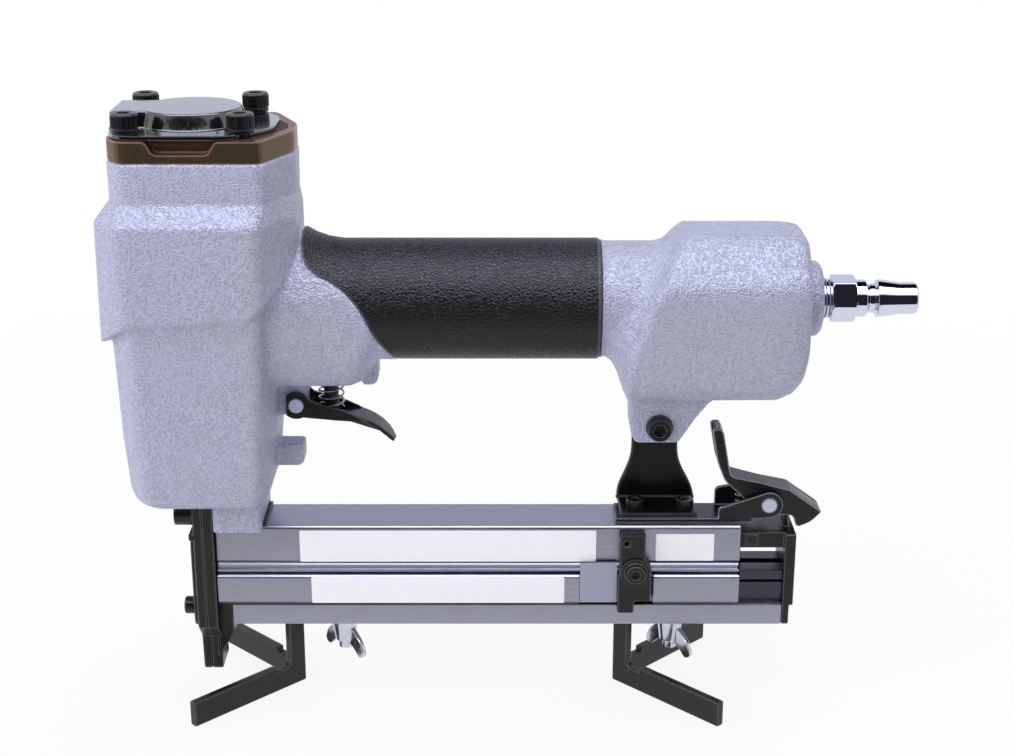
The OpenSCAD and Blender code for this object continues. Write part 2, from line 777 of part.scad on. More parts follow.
// Section of the blade: a V whose point looks to the front
module blade_profile(gap) {
    w = blade_w / 2 + gap;
    f = blade_front - gap;
    b = blade_front + blade_t + gap;
    v = blade_v * w / (blade_w / 2);
    polygon([[f, 0], [f + v, -w], [b + v, -w], [b, 0], [b + v, w], [f + v, w]]);
}
module driver_blade() {
    color("#9aa0a8")
    place()
    translate([0, 0, tip_z + stroke + 0.5])
    linear_extrude(piston_z + 3.5 - tip_z - stroke)
    blade_profile(0);
}
module head_valve() {
    color("#d8d4c6")
    place()
    difference() {
        union() {
            z_rod(axis_x, 0, sleeve_top, sleeve_top + valve_t, case_r - clear);
            z_rod(axis_x, 0, sleeve_top, cap_top - valve_lift - 1, valve_stem_r);
        }
        z_rod(axis_x, 0, sleeve_top - 1, head_seat + 9, 5);
        translate([axis_x, 0, sleeve_top + 1.3])
        difference() {
            cylinder(h = 2.4, r = case_r + 1);
            translate([0, 0, -1])
            cylinder(h = 5, r = case_r - 2.3);
        }
    }
}
module head_valve_o_ring() {
    color("#202022")
    place()
    o_ring(sleeve_top + 2.5, case_r - 1.25, 1.8);
}
module head_valve_spring() {
    color("#b9bcc2")
    place()
    translate([axis_x, 0, sleeve_top + valve_t + 0.1])
    spring(12, head_seat - spigot - sleeve_top - valve_t - 0.2, 3, 1);
}

// Trigger and its valve

module trigger_cheek() {
    translate([pivot_x, pivot_z])
    difference() {
        union() {
            circle(r = 4.8);
            polygon([[-3.4, -3.75], [13.6, -5.4], [20.4, -5.85], [23.8, -6.3], [20.4, -3.9],
                [16.2, -1.9], [5.2, 1.5], [4.2, 2.4], [3, 3.8], [-3.4, 3.2]]);
        }
        translate([-10, -10])
        square([6.6, 20]);
        circle(r = pin_r + run);
    }
}
// Web and finger plate of the trigger, seen from the side
module trigger_web() {
    top = [for (k = [0:6]) bend([18.8, -1.1], [26.5, -0.9], [33.3, -9.9], k / 6)];
    under = [for (k = [6:-1:0]) bend([18.6, -1.1 - trigger_t], [25.9, -1 - trigger_t],
        [32.4, -9.6 - trigger_t], k / 6)];
    translate([pivot_x, web_z])
    polygon(concat([[5, 0]], top, under, [[5, -trigger_t]]));
}
module trigger() {
    color("#2e2c2f")
    place()
    union() {
        side_plate(-cheek_out, -cheek_in) trigger_cheek();
        side_plate(cheek_in, cheek_out) trigger_cheek();
        intersection() {
            side_plate(-cheek_out, cheek_out) trigger_web();
            translate([pivot_x, 0, 0])
            linear_extrude(pivot_z)
            union() {
                polygon([[0, -cheek_out], [12, -cheek_out], [finger_end - finger_hw, -finger_hw],
                    [finger_end - finger_hw, finger_hw], [12, cheek_out], [0, cheek_out]]);
                translate([finger_end - finger_hw, 0])
                circle(r = finger_hw);
            }
        }
    }
}
module trigger_pin() {
    color("#c8cce6")
    place()
    y_rod(-cheek_out - 0.4, cheek_out + 0.4, pivot_x, pivot_z, pin_r);
}
module trigger_valve_body() {
    color("#1f1f21")
    place()
    difference() {
        z_rod(stem_x, 0, seat_z, housing_z + 12, valve_r);
        z_rod(stem_x, 0, seat_z - 1, housing_z + 13, stem_r + run);
        for (z = [housing_z + 3, housing_z + 8])
            translate([stem_x, 0, z])
            difference() {
                cylinder(h = 1.8, r = valve_r + 1);
                translate([0, 0, -1])
                cylinder(h = 5, r = valve_r - 1.5);
            }
    }
}
module valve_o_rings() {
    color("#202022")
    place()
    for (z = [housing_z + 3.9, housing_z + 8.9])
        translate([stem_x, 0, z])
        rotate_extrude()
        translate([valve_r - 0.75, 0])
        circle(r = 0.65, $fn = 24);
}
module trigger_valve_stem() {
    color("#1a1a1c")
    place()
    z_rod(stem_x, 0, web_z + clear, housing_z + 8, stem_r);
}
module trigger_spring() {
    color("#b9bcc2")
    place()
    translate([stem_x, 0, web_z + 0.15])
    spring(trig_spring_r, seat_z - web_z - 0.25, 3.5, trig_wire);
}

// Air plug

module air_plug() {
    r = plug_r;
    color("#d5d8dd")
    place()
    translate([0, 0, handle_z])
    rotate([0, 90, 0])
    difference() {
        union() {
            translate([0, 0, hex_start])
            intersection() {
                rotate([0, 0, 36])
                cylinder(h = plug_hex_len, r = plug_hex / sqrt(3), $fn = 6);
                cylinder(h = plug_hex_len, r1 = plug_hex / 2 + 0.4, r2 = plug_hex / 2 + 9);
                cylinder(h = plug_hex_len, r1 = plug_hex / 2 + 9, r2 = plug_hex / 2 + 0.4);
            }
            rotate_extrude()
            polygon([[0, chamber_end - 8], [plug_thread_r, chamber_end - 8],
                [plug_thread_r, hex_start + 1], [r, hex_start + 1], [r, hex_end + 3.4],
                [r - 1.4, hex_end + 4.5], [r - 1.4, hex_end + 6.3], [r, hex_end + 7.4],
                [r, hex_end + 8.7], [r - 0.9, hex_end + 14.8], [r - 0.9, plug_end - 1],
                [r - 1.5, plug_end], [0, plug_end]]);
        }
        translate([0, 0, chamber_end - 20])
        cylinder(h = 80, r = plug_bore_r);
    }
}

// Nose

module nose_outline() {
    polygon(rounded([[-tip_hw, tip_z], [tip_hw, tip_z], [tip_hw, tip_z + 13],
        [nose_hw, tip_z + 19], [nose_hw, head_floor - 0.1], [-nose_hw, head_floor - 0.1],
        [-nose_hw, tip_z + 19], [-tip_hw, tip_z + 13]], 1));
}
module nose_front_plate() {
    color("#2e2c2f")
    place()
    difference() {
        union() {
            cross_plate(front_face, nose_joint) nose_outline();
            block(front_face - 1.6, front_face + 1, -nose_hw, nose_hw, mag_top - 4.6, mag_top - 2);
        }
        block(pocket_front, nose_joint + 1, -pocket_hw, pocket_hw, 0, head_floor + 1);
        side_plate(-20, 20)
        polygon([[front_face - 3, tip_z - 1], [front_face + 0.3, tip_z - 1],
            [front_face, tip_z + 17], [front_face - 3, tip_z + 17]]);
        for (s = [-1, 1])
            x_rod(front_face - 5, nose_joint + 1, s * nose_bolt_y, nose_bolt_z, 2.6);
        x_rod(front_face - 5, pocket_front + 1, 0, cover_bolt_z, 2 + run);
    }
}
module nose_rear_plate() {
    color("#2e2c2f")
    place()
    difference() {
        union() {
            cross_plate(nose_joint, rear_face) nose_outline();
            side_plate(-7, 7)
            polygon([[rear_face - 1, tip_z + 6], [rear_face + 1.6, tip_z + 9],
                [drawer_front - clear, tip_z + 14], [drawer_front - clear, drawer_top - 0.6],
                [rear_face - 1, drawer_top - 0.6]]);
        }
        block(nose_joint - 1, pocket_back, -pocket_hw, pocket_hw, 0, head_floor + 1);
        block(nose_joint - 1, rear_face + 1, -pocket_hw, pocket_hw, drawer_top, roof);
        for (s = [-1, 1])
            x_rod(nose_joint - 1, rear_face + 1, s * nose_bolt_y, nose_bolt_z, 2.6);
    }
}
module nose_screws() {
    color("#2e2c2f")
    place()
    for (s = [-1, 1])
        translate([front_face, s * nose_bolt_y, nose_bolt_z])
        rotate([0, 90, 0])
        difference() {
            union() {
                translate([0, 0, -1.2])
                cylinder(h = 1.2, r = head_r - 0.1);
                translate([0, 0, -1.2 - head_t])
                cylinder(h = head_t, r = head_r - 0.1);
                cylinder(h = rear_face + 10 - front_face, r = 2.5);
            }
            translate([0, 0, -3 - head_t])
            hex_socket(4.2, 4);
        }
}
module nose_cover() {
    color("#29272a")
    place()
    difference() {
        cross_plate(front_face - cover_sheet, front_face)
        polygon(rounded([[-8, cover_bolt_z - 5.2], [8, cover_bolt_z - 5.2], [8, mag_top - 4.8],
            [-8, mag_top - 4.8]], 4));
        x_rod(front_face - 5, front_face + 1, 0, cover_bolt_z, 2 + run);
    }
}
module nose_cover_screw() {
    color("#3a393c")
    place()
    translate([front_face - cover_sheet, 0, cover_bolt_z])
    rotate([0, 90, 0])
    difference() {
        union() {
            translate([0, 0, -4])
            cylinder(h = 4, r = 3.1);
            translate([0, 0, -4.4])
            cylinder(h = 0.4, r1 = 2.7, r2 = 3.1);
            cylinder(h = pocket_front - front_face + cover_sheet - 0.3, r = 2);
        }
        translate([0, 0, -5])
        hex_socket(3, 2.5);
    }
}

// Magazine

// Whole outline from the half at Y >= 0
function both(p) = concat(p, [for (i = [len(p) - 1:-1:0]) [-p[i].x, p[i].y]]);
// Section of the magazine channel with the grooves of the drawn profile
module channel_section() {
    hw = mag_hw;
    polygon(both([[0, mag_top], [hw - 0.6, mag_top], [hw, mag_top - 0.6], [hw, flange_z + 4.6],
        [hw - 0.5, flange_z + 4.4], [hw - 0.5, flange_z + 3.9], [hw - 0.1, flange_z + 3.7],
        [hw - 0.8, flange_z + 1.8], [hw + 0.2, flange_z + 1.6], [hw + 0.2, flange_z + 1],
        [hw - 0.9, flange_z + 0.9], [hw - 0.9, flange_z], [flange_hw - 0.5, flange_z],
        [flange_hw, flange_z - 0.5], [flange_hw, mag_foot + 0.4], [flange_hw - 0.4, mag_foot],
        [hw - mag_wall, mag_foot], [hw - mag_wall, roof], [0, roof]]));
}
module magazine_channel() {
    color("#8d8c99")
    place()
    difference() {
        cross_plate(rear_face, mag_end) channel_section();
        block(25.7, 50.5, -flange_hw - 1, -mag_hw - stop_gap, mag_foot - 1, flange_z + eps);
        y_rod(-20, 0, stop_x, stop_z, 2.1);
        for (x = [44.5, 61.7])
            z_rod(x, -1, roof - 1, mag_top + 1, 1.6 + run);
    }
}
module magazine_hanger() {
    color("#2e2c2f")
    place()
    block(rear_face, rear_face + saddle_len + 1.4, -mag_hw, mag_hw, mag_top, mag_top + hanger_t);
}
module drawer_channel() {
    hw = mag_hw;
    color("#85848f")
    place()
    cross_plate(drawer_front, drawer_end)
    difference() {
        polygon([[-hw, drawer_z], [hw, drawer_z], [hw, drawer_top], [-hw, drawer_top]]);
        polygon([[1.6 - hw, drawer_z + lip_t], [hw - 1.6, drawer_z + lip_t],
            [hw - 1.6, drawer_top - 1.6], [1.6 - hw, drawer_top - 1.6]]);
        polygon([[-slot_hw, drawer_z - 1], [slot_hw, drawer_z - 1],
            [slot_hw, drawer_z + 3], [-slot_hw, drawer_z + 3]]);
    }
}
module rail_section() {
    w = rail_hw;
    polygon(both([[0, drawer_top], [w - 0.6, drawer_top], [w - 0.6, drawer_top + 2.6],
        [w, drawer_top + 2.8], [w, rail_top - 4.4], [w - 1.6, rail_top - 4.4],
        [w - 1.6, rail_top - 3.6], [w, rail_top - 3.6], [w, rail_top], [0, rail_top]]));
}
module nail_rail() {
    color("#56565c")
    place()
    cross_plate(drawer_front, drawer_end)
    difference() {
        rail_section();
        polygon([[-tunnel_hw, tunnel_z], [tunnel_hw, tunnel_z],
            [tunnel_hw, tunnel_top], [-tunnel_hw, tunnel_top]]);
        polygon([[-1.7, tunnel_top - 1], [1.7, tunnel_top - 1], [1.7, rail_top + 1],
            [-1.7, rail_top + 1]]);
        for (s = [-1, 1])
            translate([s * 6.1, drawer_top + 5.7])
            circle(r = 1.25 + run);
    }
}
module end_plate() {
    back = drawer_end + end_t;
    color("#2e2c2f")
    place()
    difference() {
        union() {
            cross_plate(drawer_end, back)
            polygon(rounded([[-mag_hw, drawer_z], [mag_hw, drawer_z], [mag_hw, plate_top],
                [-mag_hw, plate_top]], 1));
            block(drawer_end, drawer_end + 1.8, -tab_half, tab_half, plate_top - 1, mag_top + 1);
            block(71, drawer_end + 1, -rail_hw, rail_hw, roof - 7.4, plate_top);
            block(mag_end + 2, mag_end + 6, -rail_hw - 0.5, rail_hw + 0.5, roof - 6, roof - 2.4);
        }
        block(70, drawer_end, -rail_hw + 2, rail_hw - 2, roof - 8, plate_top - 1.6);
        x_rod(drawer_end - 1, back + 1, 0, rod_z, rod_r + run);
        block(back - 1.3, back + 1, -20, 20, drawer_z - 1, drawer_top - 0.6);
        for (s = [-1, 1])
            x_rod(drawer_end - 1, back + 1, s * 6.1, drawer_top + 5.7, 1.35);
        for (s = [-1, 1])
            translate([back - 1.3, s * 6.1, drawer_top + 5.7])
            rotate([0, 90, 0])
            cylinder(h = 1.4, r1 = 1.35, r2 = 2.65);
    }
}
module end_plate_screws() {
    back = drawer_end + end_t;
    color("#3a393c")
    place()
    for (s = [-1, 1])
        translate([back, s * 6.1, drawer_top + 5.7])
        rotate([0, 90, 0])
        difference() {
            union() {
                translate([0, 0, -end_t - 10])
                cylinder(h = end_t + 9.5, r = 1.25);
                translate([0, 0, -1.3])
                cylinder(h = 1.2, r1 = 1.25, r2 = 2.45);
            }
            translate([0, 0, -1])
            hex_socket(4, 1.5);
        }
}
module nail_pusher() {
    w = blade_w / 2 - 0.2;
    v = blade_v;
    color("#a8742c")
    place()
    difference() {
        union() {
            translate([0, 0, rail_top + clear])
            linear_extrude(roof - rail_top - 2 * clear)
            polygon([[push_x, 0], [push_x + v, -w], [push_x + 13, -w], [push_x + 13, w],
                [push_x + v, w]]);
            block(push_x + 3, foot_back, -1.4, 1.4, rod_z, rail_top + 1);
            block(push_x + 2, foot_back, clear - tunnel_hw, tunnel_hw - clear,
                tunnel_z + clear, tunnel_top - clear);
        }
        x_rod(push_x - 1, foot_back + 1, 0, rod_z, rod_r + run);
    }
}
module pusher_rod() {
    color("#b9bcc2")
    place()
    x_rod(drawer_front + 1, drawer_end + end_t, 0, rod_z, rod_r);
}
module pusher_spring() {
    color("#b9bcc2")
    place()
    translate([foot_back + 0.2, 0, rod_z])
    rotate([0, 90, 0])
    spring(push_spring_r, drawer_end - foot_back - 0.4, 30, 0.7);
}

// Rear strut and latch

module strut_outline() {
    x = lug_bolt_x;
    n = strut_neck / 2;
    f = bracket_top;
    t = lug_foot + 8;
    polygon(rounded([[x - strut_front, f], [x + strut_back, f], [x + strut_back - 0.8, f + 5.4],
        [x + n + 1.2, f + 14], [x + n, f + 18.5], [x + n, t], [x + n - 3.4, t + 2.5],
        [x - n + 3.4, t + 2.5], [x - n, t], [x - n, f + 18.5], [x - n - 1.2, f + 14],
        [x - strut_front, f + 5.4]], 3));
}
module support_strut() {
    color("#242326")
    place()
    difference() {
        union() {
            side_plate(strut_y, strut_y + strut_t) strut_outline();
            block(lug_bolt_x - strut_front + 0.4, lug_bolt_x + strut_back - 0.4,
                -foot_hw - 0.2, strut_y + 0.2, bracket_top, strut_top);
        }
        y_rod(-30, 30, lug_bolt_x, lug_bolt_z, 2.6);
        for (x = [44.5, 61.7])
            z_rod(x, -1, bracket_top - 1, strut_top + 1, 1.7);
    }
}
module strut_bolt() {
    color("#2e2c2f")
    place()
    translate([lug_bolt_x, -lug_near, lug_bolt_z])
    rotate([90, 0, 0])
    difference() {
        union() {
            cylinder(h = 0.9, r = 4.6);
            translate([0, 0, 0.9])
            cylinder(h = 3, r1 = head_r, r2 = head_r - 0.4);
            translate([0, 0, -lug_near - mag_hw - 5])
            cylinder(h = lug_near + mag_hw + 6, r = 2.5);
        }
        translate([0, 0, 1.6])
        hex_socket(4, 4);
    }
}
module strut_nut() {
    color("#3a393c")
    place()
    translate([lug_bolt_x, mag_hw + 4, lug_bolt_z])
    rotate([90, 0, 0])
    difference() {
        cylinder(h = 4, r = 8 / sqrt(3), $fn = 6);
        translate([0, 0, -1])
        cylinder(h = 6, r = 2.5 + run);
    }
}
module strut_screws() {
    color("#2e2c2f")
    place()
    for (x = [44.5, 61.7])
        translate([x, -1, strut_top])
        difference() {
            union() {
                cylinder(h = 3, r = 3);
                translate([0, 0, roof - strut_top])
                cylinder(h = strut_top - roof + 1, r = 1.6);
            }
            translate([0, 0, 1.4])
            hex_socket(3, 2.5);
        }
}
module latch_ear(rise) {
    difference() {
        union() {
            translate([latch_x, latch_z])
            circle(r = 4.7);
            polygon([[72.8, mag_top], [mag_end, mag_top], [mag_end, mag_top + 1.2],
                [latch_x + 1.4, mag_top + 1.6], [latch_x, latch_z + 2],
                [latch_x - 1.6, latch_z + 4.4], [75.2, mag_top + 6 + rise],
                [73.6, mag_top + 5.6 + rise], [72.8, mag_top + 4.6 + rise]]);
        }
        translate([latch_x, latch_z])
        circle(r = latch_pin_r + 0.02);
    }
}
module latch_bracket() {
    color("#2b2a2c")
    place()
    difference() {
        union() {
            block(37.4, latch_x - 5.6, -ear_out, ear_out, mag_top, bracket_top);
            side_plate(-ear_out, -ear_in) latch_ear(0);
            side_plate(ear_in, ear_out) latch_ear(2.4);
        }
        for (x = [44.5, 61.7])
            z_rod(x, -1, mag_top - 1, bracket_top + 1, 1.7);
    }
}
// Outline of the lever's cheeks: thumb tab, back and hook, placed from the pivot
module latch_cheek() {
    x = latch_x;
    z = latch_z;
    difference() {
        polygon(rounded([[x - 20.4, z + 27.2], [x - 17, z + 27.2], [x - 16.1, z + 24.5],
            [x - 13.4, z + 9.9], [x + 7, z + 5], [x + 18.6, z - 3.3], [x + 14.7, z - 7.2],
            [x + 9.9, z - 9.2], [x + 8.6, z - 4.6], [x + 4, z - 4.4], [x - 3.6, z - 3.6],
            [x - 11, z + 4], [x - 15.4, z + 8], [x - 18.2, z + 15]], 1.6));
        translate([x, z])
        circle(r = latch_pin_r + run);
    }
}
// The sheet that joins the cheeks, along the lever's outer edge
module latch_back() {
    t = latch_t;
    x = latch_x;
    z = latch_z;
    polygon([[x - 18.6, z + 27.2], [x - 17.2, z + 27.2], [x - 16.1, z + 24.5],
        [x - 13.4, z + 9.9], [x + 7, z + 5], [x + 18.3, z - 3.2], [x + 17.4, z - 3.2 - 0.8 * t],
        [x + 6.5, z + 4.7 - t], [x - 13.8, z + 9.6 - t], [x - 14.9 - t, z + 10.6],
        [x - 17 - t, z + 22]]);
}
module latch_lever() {
    color("#2b2a2c")
    place()
    union() {
        side_plate(-latch_hw, latch_t - latch_hw) latch_cheek();
        side_plate(latch_hw - latch_t, latch_hw) latch_cheek();
        side_plate(-latch_hw, latch_hw) latch_back();
    }
}
module latch_pin() {
    color("#c8cce6")
    place()
    y_rod(-ear_out - 0.5, ear_out + 0.5, latch_x, latch_z, latch_pin_r);
}
module latch_spring() {
    color("#b9bcc2")
    place()
    translate([latch_x - 8.6, 0, bracket_top + 0.1])
    spring(2.2, latch_up + 7.6 - latch_t - bracket_t - 0.1, 4.5, 0.8);
}

// Stop plate on the side of the magazine

module stop_plate() {
    face = mag_hw + stop_gap;
    color("#29272a")
    place()
    difference() {
        side_plate(-face - stop_t, -face)
        difference() {
            union() {
                translate([stop_x, stop_z])
                circle(r = 5.6);
                polygon(rounded([[38.3, mag_foot - 2.4], [44, mag_foot - 2.4], [44, mag_foot + 2],
                    [49.8, mag_foot + 2], [49.8, stop_z], [47.6, stop_z + 4], [47.6, mag_top - 1.6],
                    [38.8, mag_top - 1.6], [38.8, stop_z], [38.3, stop_z - 3]], 0.8));
            }
            translate([41.2, mag_top - 5])
            square(1.6, center = true);
            translate([stop_x, stop_z])
            circle(r = 2.1);
        }
    }
}
module stop_screw() {
    face = mag_hw + stop_gap + stop_t;
    color("#2e2c2f")
    place()
    translate([stop_x, -face, stop_z])
    rotate([90, 0, 0])
    difference() {
        union() {
            cylinder(h = 0.9, r = 5.2);
            translate([0, 0, 0.9])
            cylinder(h = 1.8, r1 = 3.8, r2 = 3.2);
            translate([0, 0, -stop_t - 1.6])
            cylinder(h = stop_t + 2, r = 2);
        }
        translate([0, 0, 1])
        hex_socket(3, 3);
    }
}

// V guides and their clamps

// One arm with its post, cut from a sheet that lies along X and is then turned to 45 degrees
module guide_leaf() {
    reach = guide_reach * sqrt(2);
    post = 6.6;
    rotate([0, 0, 45])
    rotate([90, 0, 0])
    linear_extrude(guide_t)
    polygon([[0, 0], [reach, 0], [reach, guide_h], [post + 6, guide_h],
        [post + 6, guide_h - 1.6], [post + 1.2, guide_h - 1.6], [post, guide_h - 0.4],
        [post, tab_low + 0.2], [0, tab_low + 0.2]]);
}
module guide(apex, stud) {
    union() {
        children();
        block(min(apex, stud) - 5, max(apex, stud) + 9, -tab_hw, tab_hw, tab_low, tab_low + tab_t);
    }
}
module guide_stud(x) {
    z_rod(x, 0, nut_top - nut_h - 3, tab_low + tab_t, stud_r);
}
module guide_washer(x) {
    difference() {
        z_rod(x, 0, nut_top, drawer_z - 0.1, 6.6);
        z_rod(x, 0, nut_top - 1, drawer_z + 1, stud_r + 0.1);
    }
}
module wing_nut(x) {
    translate([x, 0, nut_top - 0.1])
    difference() {
        union() {
            translate([0, 0, -nut_h])
            cylinder(h = nut_h, r1 = 3.6, r2 = 4.6);
            for (a = [-45, 135])
                rotate([0, 0, a])
                side_plate(-0.9, 0.9)
                polygon(rounded([[1, -1.6], [4.6, -3.4], [wing_reach - 1.8, -7.4], [wing_reach, -12],
                    [wing_reach - 2.6, -14], [5.4, -11], [1, -nut_h + 0.6]], 1.6));
        }
        translate([0, 0, -20])
        cylinder(h = 30, r = stud_r + run);
    }
}
front_stud_x = front_apex + stud_gap;
rear_stud_x = rear_apex + rear_gap;

module front_guide() {
    color("#2b2a2d")
    place()
    difference() {
        guide(front_apex, front_stud_x)
        translate([front_apex, 0, 0])
        mirror([1, 0, 0])
        union() {
            guide_leaf();
            mirror([0, 1, 0]) guide_leaf();
        }
        z_rod(front_stud_x, 0, 0, 60, stud_r + 0.02);
    }
}
module front_stud() {
    color("#b9bcc2")
    place()
    guide_stud(front_stud_x);
}
module front_washer() {
    color("#b9bcc2")
    place()
    guide_washer(front_stud_x);
}
module front_wing_nut() {
    color("#c4c6cb")
    place()
    wing_nut(front_stud_x);
}
module rear_guide() {
    color("#2b2a2d")
    place()
    difference() {
        guide(rear_apex, rear_stud_x)
        translate([rear_apex, 0, 0])
        union() {
            guide_leaf();
            mirror([0, 1, 0]) guide_leaf();
        }
        z_rod(rear_stud_x, 0, 0, 60, stud_r + 0.02);
    }
}
module rear_stud() {
    color("#b9bcc2")
    place()
    guide_stud(rear_stud_x);
}
module rear_washer() {
    color("#b9bcc2")
    place()
    guide_washer(rear_stud_x);
}
module rear_wing_nut() {
    color("#c4c6cb")
    place()
    wing_nut(rear_stud_x);
}

body_casting();
rubber_grip();
cylinder_cap();
exhaust_gasket();
exhaust_cover();
cap_screws();
cap_lock_washers();
cylinder_sleeve();
sleeve_o_rings();
piston();
piston_o_ring();
driver_blade();
piston_bumper();
head_valve();
head_valve_o_ring();
head_valve_spring();
trigger();
trigger_pin();
trigger_spring();
trigger_valve_body();
trigger_valve_stem();
valve_o_rings();
air_plug();
nose_front_plate();
nose_rear_plate();
nose_screws();
nose_cover();
nose_cover_screw();
magazine_channel();
magazine_hanger();
drawer_channel();
nail_rail();
end_plate();
end_plate_screws();
nail_pusher();
pusher_rod();
pusher_spring();
support_strut();
strut_bolt();
strut_nut();
strut_screws();
latch_bracket();
latch_lever();
latch_pin();
latch_spring();
stop_plate();
stop_screw();
front_guide();
front_stud();
front_washer();
front_wing_nut();
rear_guide();
rear_stud();
rear_washer();
rear_wing_nut();
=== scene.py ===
import json
import math

import bmesh
import bpy
from mathutils import Matrix, Vector
from mathutils.bvhtree import BVHTree


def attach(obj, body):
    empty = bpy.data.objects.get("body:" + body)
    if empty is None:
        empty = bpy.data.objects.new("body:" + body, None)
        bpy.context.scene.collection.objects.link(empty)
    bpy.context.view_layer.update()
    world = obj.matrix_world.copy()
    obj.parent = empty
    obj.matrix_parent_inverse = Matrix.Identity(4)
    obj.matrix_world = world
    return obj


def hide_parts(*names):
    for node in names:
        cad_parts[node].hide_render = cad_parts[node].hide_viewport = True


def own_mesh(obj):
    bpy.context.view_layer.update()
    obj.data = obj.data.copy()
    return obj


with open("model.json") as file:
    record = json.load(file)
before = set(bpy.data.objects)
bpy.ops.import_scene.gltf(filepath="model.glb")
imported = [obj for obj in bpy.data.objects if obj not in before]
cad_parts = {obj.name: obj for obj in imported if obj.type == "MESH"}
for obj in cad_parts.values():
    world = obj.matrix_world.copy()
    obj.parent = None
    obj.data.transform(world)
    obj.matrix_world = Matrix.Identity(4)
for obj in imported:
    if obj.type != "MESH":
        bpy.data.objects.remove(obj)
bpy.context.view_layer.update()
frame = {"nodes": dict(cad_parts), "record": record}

# Body casting: head, handle and rear air chamber are one aluminium sand casting with soft
# edges, sprayed with a silver-grey hammer enamel that pulls into small blisters as it dries.
MM = 0.001
WELD = 0.002
body_of = {n: b for b, members in frame["record"]["behaviour"]["bodies"].items() for n in members}


def linear(code):
    """An sRGB hex colour as the linear values that a shader takes."""
    parts = [int(code[i:i + 2], 16) / 255 for i in (1, 3, 5)]
    return [c / 12.92 if c <= 0.04045 else ((c + 0.055) / 1.055) ** 2.4 for c in parts] + [1]


def add(material, kind, sockets=None, **settings):
    """Adds one node with its settings; a socket takes a value or another node's output."""
    node = material.node_tree.nodes.new("ShaderNode" + kind)
    for name, value in settings.items():
        setattr(node, name, value)
    for name, value in (sockets or {}).items():
        if isinstance(value, bpy.types.NodeSocket):
            material.node_tree.links.new(value, node.inputs[name])
        else:
            node.inputs[name].default_value = value
    return node


def new_material(name):
    """A material with no nodes yet."""
    material = bpy.data.materials.new(name)
    material.use_nodes = True
    material.node_tree.nodes.clear()
    return material


def finish_shader(material, sockets):
    """Closes a material with its shader."""
    shader = add(material, "BsdfPrincipled", sockets)
    add(material, "OutputMaterial", {"Surface": shader.outputs["BSDF"]})
    return material


def merged_copy(node):
    """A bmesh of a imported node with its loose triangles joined."""
    work = bmesh.new()
    work.from_mesh(frame["nodes"][node].data)
    bmesh.ops.remove_doubles(work, verts=work.verts, dist=WELD * MM)
    return work


def put(work, name, node, material, stands_for=None):
    """Makes the bmesh a piece that rides where its node does."""
    mesh = bpy.data.meshes.new(name)
    work.to_mesh(mesh)
    work.free()
    piece = bpy.data.objects.new(name, mesh)
    bpy.context.scene.collection.objects.link(piece)
    mesh.materials.append(material)
    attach(piece, body_of[node])
    if stands_for:
        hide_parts(*stands_for)
    return piece


PAINT_BUILD = 0.15


def moulded(node, name, material, voxel, rounds, kept):
    """A node's form with every edge and inner corner rounded, as a mould leaves it."""
    piece = put(merged_copy(node), name, node, material, [node])
    remesh = piece.modifiers.new("skin", "REMESH")
    remesh.mode = "VOXEL"
    remesh.voxel_size = voxel * MM
    remesh.use_smooth_shade = True
    smooth = piece.modifiers.new("soften", "SMOOTH")
    smooth.factor = 0.5
    smooth.iterations = rounds
    swell = piece.modifiers.new("paint_build", "DISPLACE")
    swell.mid_level = 0
    swell.strength = PAINT_BUILD * MM
    thin = piece.modifiers.new("fewer_faces", "DECIMATE")
    thin.ratio = kept
    bpy.context.view_layer.update()
    final = bpy.data.meshes.new_from_object(piece.evaluated_get(
        bpy.context.evaluated_depsgraph_get()))
    piece.modifiers.clear()
    piece.data = final
    for face in final.polygons:
        face.use_smooth = True


hammer_enamel = new_material("hammer_enamel_on_cast_aluminium")
# Worm-like ridges under 1 mm apart break a silver-lavender metal paint into fine sparkle. Its tone
# is painted darker in the furrows and paler on the crests, as painted shade and highlight over the
# relief.
RIDGES = 0.9
place = add(hammer_enamel, "TexCoord").outputs["Object"]
ridges = add(hammer_enamel, "TexNoise", {"Vector": place, "Scale": 1 / (RIDGES * MM), "Detail": 0,
    "Offset": 1}, noise_type="RIDGED_MULTIFRACTAL", normalize=False).outputs["Fac"]
enamel_tone_with_painted_relief_shade = add(hammer_enamel, "ValToRGB", {"Fac": ridges})
enamel_tone_with_painted_relief_shade.color_ramp.elements[0].position = 0.35
enamel_tone_with_painted_relief_shade.color_ramp.elements[0].color = linear("#a6a7bd")
enamel_tone_with_painted_relief_shade.color_ramp.elements[1].position = 1
enamel_tone_with_painted_relief_shade.color_ramp.elements[1].color = linear("#bdbfd7")
hammer_bump = add(hammer_enamel, "Bump", {"Height": ridges, "Strength": 1, "Distance": 0.24 * MM})
finish_shader(hammer_enamel, {"Base Color": enamel_tone_with_painted_relief_shade.outputs["Color"], "Roughness": 0.42,
    "Metallic": 0.12, "Specular IOR Level": 0.25, "Normal": hammer_bump.outputs["Normal"]})
moulded("body_casting", "body_casting_enamelled", hammer_enamel, voxel=0.6, rounds=5, kept=0.25)

# Rubber grip: a moulded sleeve, stretched over the handle's core, with a wrinkled leather grain
# and crisp rims at its ends.
# Faces that meet under FLAT are joined, edges over SHARP are broken, and shading splits over
# CREASE. STRAY is how far a corner may leave the surface, as a share of the broken edge.
FLAT, SHARP, CREASE = (math.radians(angle) for angle in (0.5, 32, 40))
STRAY = 0.75


